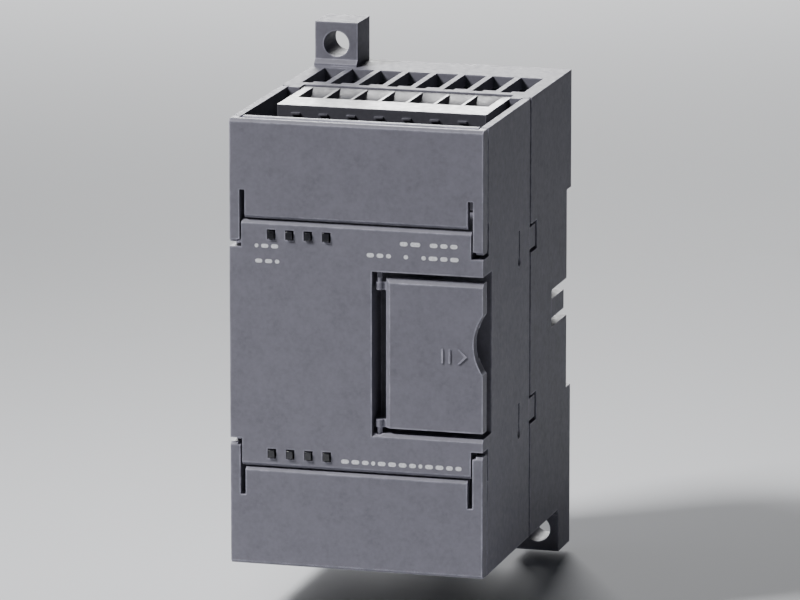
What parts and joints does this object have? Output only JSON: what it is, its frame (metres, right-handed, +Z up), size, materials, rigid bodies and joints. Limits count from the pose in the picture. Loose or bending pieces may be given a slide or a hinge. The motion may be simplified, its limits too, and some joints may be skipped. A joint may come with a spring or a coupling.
{
  "type": "plc expansion module",
  "caption": "Rail-mounted controller expansion module with hinged terminal doors, screw-clamp terminal rows, a bus connector door, a sliding rail clip and screw tabs.",
  "frame": {"origin": "middle of the rail seat: the flat recess floor in the back, at mid-width and mid-height", "axes": "+X right as seen from the front, -Y the front, +Y out of the back towards the rail, +Z up"},
  "size_m": [0.046, 0.0624, 0.096],
  "materials": {
    "housing_plastic": "fine spark-eroded texture, anthracite grey",
    "base_plastic": "fine spark-eroded texture, anthracite grey",
    "door_plastic": "fine texture, anthracite grey, a little smoother",
    "clip_plastic": "moulded black-grey polyamide",
    "light_guide": "smoky translucent acrylic, unlit",
    "terminal_plastic": "moulded dark grey polyamide",
    "connector_plastic": "moulded black",
    "circuit_board": "green solder mask on glass epoxy",
    "chip_epoxy": "black moulding epoxy",
    "capacitor_can": "bare can, top scored",
    "zinc_screw": "bright zinc plate",
    "clamp_metal": "stamped, dull",
    "contact_metal": "gold flash over nickel"
  },
  "bodies": {
    "module": {"rear_base": "base_plastic", "front_housing": "housing_plastic", "upper_light_guide": "light_guide", "lower_light_guide": "light_guide", "upper_terminal_block": "terminal_plastic", "lower_terminal_block": "terminal_plastic", "bus_header": "connector_plastic", "board_link_connector": "connector_plastic", "bus_link_connector": "connector_plastic", "terminal_board": "circuit_board", "main_board": "circuit_board", "bus_board": "circuit_board", "dc_converter": "chip_epoxy", "dac_chip": "chip_epoxy", "amplifier_1": "chip_epoxy", "amplifier_2": "chip_epoxy", "capacitor_1": "capacitor_can", "capacitor_2": "capacitor_can", "bus_pin_1": "contact_metal", "bus_pin_2": "contact_metal", "bus_pin_3": "contact_metal", "bus_pin_4": "contact_metal", "bus_pin_5": "contact_metal", "bus_pin_6": "contact_metal", "bus_pin_7": "contact_metal", "bus_pin_8": "contact_metal", "bus_pin_9": "contact_metal", "bus_pin_10": "contact_metal"},
    "upper_door": {"upper_terminal_door": "door_plastic"},
    "lower_door": {"lower_terminal_door": "door_plastic"},
    "bus_door": {"bus_connector_door": "door_plastic"},
    "rail_clip": {"din_rail_clip": "clip_plastic"},
    "upper_screw_1": {"upper_terminal_screw_1": "zinc_screw"},
    "upper_cage_1": {"upper_clamp_cage_1": "clamp_metal"},
    "upper_screw_2": {"upper_terminal_screw_2": "zinc_screw"},
    "upper_cage_2": {"upper_clamp_cage_2": "clamp_metal"},
    "upper_screw_3": {"upper_terminal_screw_3": "zinc_screw"},
    "upper_cage_3": {"upper_clamp_cage_3": "clamp_metal"},
    "upper_screw_4": {"upper_terminal_screw_4": "zinc_screw"},
    "upper_cage_4": {"upper_clamp_cage_4": "clamp_metal"},
    "upper_screw_5": {"upper_terminal_screw_5": "zinc_screw"},
    "upper_cage_5": {"upper_clamp_cage_5": "clamp_metal"},
    "upper_screw_6": {"upper_terminal_screw_6": "zinc_screw"},
    "upper_cage_6": {"upper_clamp_cage_6": "clamp_metal"},
    "upper_screw_7": {"upper_terminal_screw_7": "zinc_screw"},
    "upper_cage_7": {"upper_clamp_cage_7": "clamp_metal"},
    "lower_screw_1": {"lower_terminal_screw_1": "zinc_screw"},
    "lower_cage_1": {"lower_clamp_cage_1": "clamp_metal"},
    "lower_screw_2": {"lower_terminal_screw_2": "zinc_screw"},
    "lower_cage_2": {"lower_clamp_cage_2": "clamp_metal"},
    "lower_screw_3": {"lower_terminal_screw_3": "zinc_screw"},
    "lower_cage_3": {"lower_clamp_cage_3": "clamp_metal"},
    "lower_screw_4": {"lower_terminal_screw_4": "zinc_screw"},
    "lower_cage_4": {"lower_clamp_cage_4": "clamp_metal"},
    "lower_screw_5": {"lower_terminal_screw_5": "zinc_screw"},
    "lower_cage_5": {"lower_clamp_cage_5": "clamp_metal"},
    "lower_screw_6": {"lower_terminal_screw_6": "zinc_screw"},
    "lower_cage_6": {"lower_clamp_cage_6": "clamp_metal"},
    "lower_screw_7": {"lower_terminal_screw_7": "zinc_screw"},
    "lower_cage_7": {"lower_clamp_cage_7": "clamp_metal"}
  },
  "joints": [
    {"name": "upper_door_hinge", "type": "hinge", "parent": "module", "child": "upper_door", "pos_m": [0, -0.0573, 0.0195], "axis": [1, 0, 0], "range_deg": [0, 95]},
    {"name": "lower_door_hinge", "type": "hinge", "parent": "module", "child": "lower_door", "pos_m": [0, -0.0573, -0.0195], "axis": [-1, 0, 0], "range_deg": [0, 95]},
    {"name": "bus_door_hinge", "type": "hinge", "parent": "module", "child": "bus_door", "pos_m": [0.0041, -0.0579, -0.0004], "axis": [0, 0, -1], "range_deg": [0, 105]},
    {"name": "rail_clip_slide", "type": "slide", "parent": "module", "child": "rail_clip", "axis": [0, 0, -1], "range_m": [0, 0.005]},
    {"name": "upper_screw_1_turn", "type": "hinge", "parent": "module", "child": "upper_screw_1", "pos_m": [-0.01524, -0.04, 0.033], "axis": [0, 1, 0], "range_deg": [0, 1800]},
    {"name": "upper_cage_1_slide", "type": "slide", "parent": "module", "child": "upper_cage_1", "axis": [0, -1, 0], "range_m": [0, 0.0025]},
    {"name": "upper_screw_2_turn", "type": "hinge", "parent": "module", "child": "upper_screw_2", "pos_m": [-0.01016, -0.04, 0.033], "axis": [0, 1, 0], "range_deg": [0, 1800]},
    {"name": "upper_cage_2_slide", "type": "slide", "parent": "module", "child": "upper_cage_2", "axis": [0, -1, 0], "range_m": [0, 0.0025]},
    {"name": "upper_screw_3_turn", "type": "hinge", "parent": "module", "child": "upper_screw_3", "pos_m": [-0.00508, -0.04, 0.033], "axis": [0, 1, 0], "range_deg": [0, 1800]},
    {"name": "upper_cage_3_slide", "type": "slide", "parent": "module", "child": "upper_cage_3", "axis": [0, -1, 0], "range_m": [0, 0.0025]},
    {"name": "upper_screw_4_turn", "type": "hinge", "parent": "module", "child": "upper_screw_4", "pos_m": [0, -0.04, 0.033], "axis": [0, 1, 0], "range_deg": [0, 1800]},
    {"name": "upper_cage_4_slide", "type": "slide", "parent": "module", "child": "upper_cage_4", "axis": [0, -1, 0], "range_m": [0, 0.0025]},
    {"name": "upper_screw_5_turn", "type": "hinge", "parent": "module", "child": "upper_screw_5", "pos_m": [0.00508, -0.04, 0.033], "axis": [0, 1, 0], "range_deg": [0, 1800]},
    {"name": "upper_cage_5_slide", "type": "slide", "parent": "module", "child": "upper_cage_5", "axis": [0, -1, 0], "range_m": [0, 0.0025]},
    {"name": "upper_screw_6_turn", "type": "hinge", "parent": "module", "child": "upper_screw_6", "pos_m": [0.01016, -0.04, 0.033], "axis": [0, 1, 0], "range_deg": [0, 1800]},
    {"name": "upper_cage_6_slide", "type": "slide", "parent": "module", "child": "upper_cage_6", "axis": [0, -1, 0], "range_m": [0, 0.0025]},
    {"name": "upper_screw_7_turn", "type": "hinge", "parent": "module", "child": "upper_screw_7", "pos_m": [0.01524, -0.04, 0.033], "axis": [0, 1, 0], "range_deg": [0, 1800]},
    {"name": "upper_cage_7_slide", "type": "slide", "parent": "module", "child": "upper_cage_7", "axis": [0, -1, 0], "range_m": [0, 0.0025]},
    {"name": "lower_screw_1_turn", "type": "hinge", "parent": "module", "child": "lower_screw_1", "pos_m": [0.01524, -0.04, -0.033], "axis": [0, 1, 0], "range_deg": [0, 1800]},
    {"name": "lower_cage_1_slide", "type": "slide", "parent": "module", "child": "lower_cage_1", "axis": [0, -1, 0], "range_m": [0, 0.0025]},
    {"name": "lower_screw_2_turn", "type": "hinge", "parent": "module", "child": "lower_screw_2", "pos_m": [0.01016, -0.04, -0.033], "axis": [0, 1, 0], "range_deg": [0, 1800]},
    {"name": "lower_cage_2_slide", "type": "slide", "parent": "module", "child": "lower_cage_2", "axis": [0, -1, 0], "range_m": [0, 0.0025]},
    {"name": "lower_screw_3_turn", "type": "hinge", "parent": "module", "child": "lower_screw_3", "pos_m": [0.00508, -0.04, -0.033], "axis": [0, 1, 0], "range_deg": [0, 1800]},
    {"name": "lower_cage_3_slide", "type": "slide", "parent": "module", "child": "lower_cage_3", "axis": [0, -1, 0], "range_m": [0, 0.0025]},
    {"name": "lower_screw_4_turn", "type": "hinge", "parent": "module", "child": "lower_screw_4", "pos_m": [0, -0.04, -0.033], "axis": [0, 1, 0], "range_deg": [0, 1800]},
    {"name": "lower_cage_4_slide", "type": "slide", "parent": "module", "child": "lower_cage_4", "axis": [0, -1, 0], "range_m": [0, 0.0025]},
    {"name": "lower_screw_5_turn", "type": "hinge", "parent": "module", "child": "lower_screw_5", "pos_m": [-0.00508, -0.04, -0.033], "axis": [0, 1, 0], "range_deg": [0, 1800]},
    {"name": "lower_cage_5_slide", "type": "slide", "parent": "module", "child": "lower_cage_5", "axis": [0, -1, 0], "range_m": [0, 0.0025]},
    {"name": "lower_screw_6_turn", "type": "hinge", "parent": "module", "child": "lower_screw_6", "pos_m": [-0.01016, -0.04, -0.033], "axis": [0, 1, 0], "range_deg": [0, 1800]},
    {"name": "lower_cage_6_slide", "type": "slide", "parent": "module", "child": "lower_cage_6", "axis": [0, -1, 0], "range_m": [0, 0.0025]},
    {"name": "lower_screw_7_turn", "type": "hinge", "parent": "module", "child": "lower_screw_7", "pos_m": [-0.01524, -0.04, -0.033], "axis": [0, 1, 0], "range_deg": [0, 1800]},
    {"name": "lower_cage_7_slide", "type": "slide", "parent": "module", "child": "lower_cage_7", "axis": [0, -1, 0], "range_m": [0, 0.0025]}
  ],
  "couplings": [
    {"joint": "upper_screw_1_turn", "follows": "upper_cage_1_slide", "rad_per_m": 12566},
    {"joint": "upper_screw_2_turn", "follows": "upper_cage_2_slide", "rad_per_m": 12566},
    {"joint": "upper_screw_3_turn", "follows": "upper_cage_3_slide", "rad_per_m": 12566},
    {"joint": "upper_screw_4_turn", "follows": "upper_cage_4_slide", "rad_per_m": 12566},
    {"joint": "upper_screw_5_turn", "follows": "upper_cage_5_slide", "rad_per_m": 12566},
    {"joint": "upper_screw_6_turn", "follows": "upper_cage_6_slide", "rad_per_m": 12566},
    {"joint": "upper_screw_7_turn", "follows": "upper_cage_7_slide", "rad_per_m": 12566},
    {"joint": "lower_screw_1_turn", "follows": "lower_cage_1_slide", "rad_per_m": 12566},
    {"joint": "lower_screw_2_turn", "follows": "lower_cage_2_slide", "rad_per_m": 12566},
    {"joint": "lower_screw_3_turn", "follows": "lower_cage_3_slide", "rad_per_m": 12566},
    {"joint": "lower_screw_4_turn", "follows": "lower_cage_4_slide", "rad_per_m": 12566},
    {"joint": "lower_screw_5_turn", "follows": "lower_cage_5_slide", "rad_per_m": 12566},
    {"joint": "lower_screw_6_turn", "follows": "lower_cage_6_slide", "rad_per_m": 12566},
    {"joint": "lower_screw_7_turn", "follows": "lower_cage_7_slide", "rad_per_m": 12566}
  ]
}
